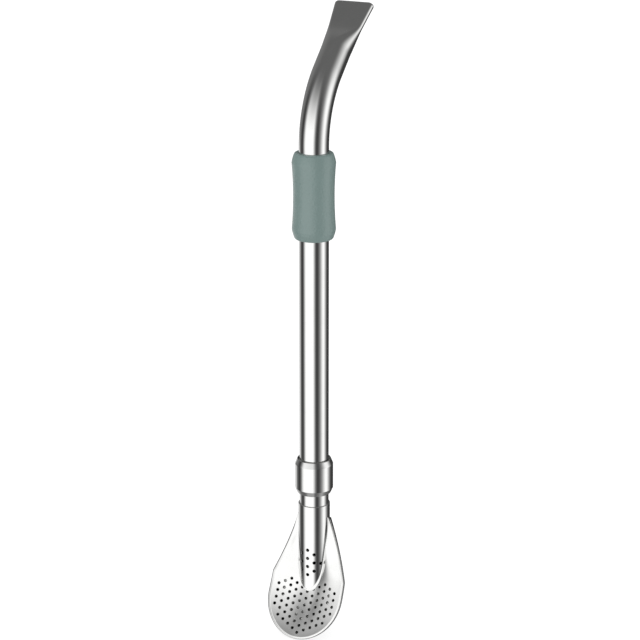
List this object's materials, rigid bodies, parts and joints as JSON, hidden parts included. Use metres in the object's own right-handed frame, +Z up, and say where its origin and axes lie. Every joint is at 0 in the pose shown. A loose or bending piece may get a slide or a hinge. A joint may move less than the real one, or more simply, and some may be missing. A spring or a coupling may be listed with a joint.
{
  "type": "drinking straw with strainer",
  "caption": "Stainless mate straw with a bent flattened mouthpiece, a soft grip sleeve and a perforated spoon strainer joined by a union nut.",
  "frame": {"origin": "on the straight tube's axis, halfway along its bare stretch between the grip and the union nut", "axes": "+Z up along the straight tube, the spoon faces -Y, the mouthpiece bends toward +Y, X is the width"},
  "size_m": [0.022, 0.0398, 0.1714],
  "materials": {
    "polished_steel": "polished",
    "satin_steel": "satin",
    "grip_silicone": "matte",
    "seal_silicone": "matte"
  },
  "bodies": {
    "straw": {"straw_tube": "polished_steel", "thread_bush": "polished_steel"},
    "grip": {"grip_sleeve": "grip_silicone"},
    "filter": {"seal_ring": "seal_silicone", "filter_stem": "polished_steel", "neck_tube": "polished_steel", "strainer_dish": "satin_steel", "bowl_back": "satin_steel"},
    "nut": {"union_nut": "polished_steel"}
  },
  "joints": [
    {"name": "grip_slide", "type": "slide", "parent": "straw", "child": "grip", "axis": [0, 0, -1], "range_m": [0, 0.0622]},
    {"name": "filter_slide", "type": "slide", "parent": "straw", "child": "filter", "axis": [0, 0, -1], "range_m": [0, 0.007]},
    {"name": "nut_turn", "type": "hinge", "parent": "filter", "child": "nut", "pos_m": [0, 0, -0.03615], "axis": [0, 0, -1], "range_deg": [0, 2523.6]}
  ],
  "couplings": [
    {"joint": "nut_turn", "follows": "filter_slide", "rad_per_m": 6283.2}
  ]
}
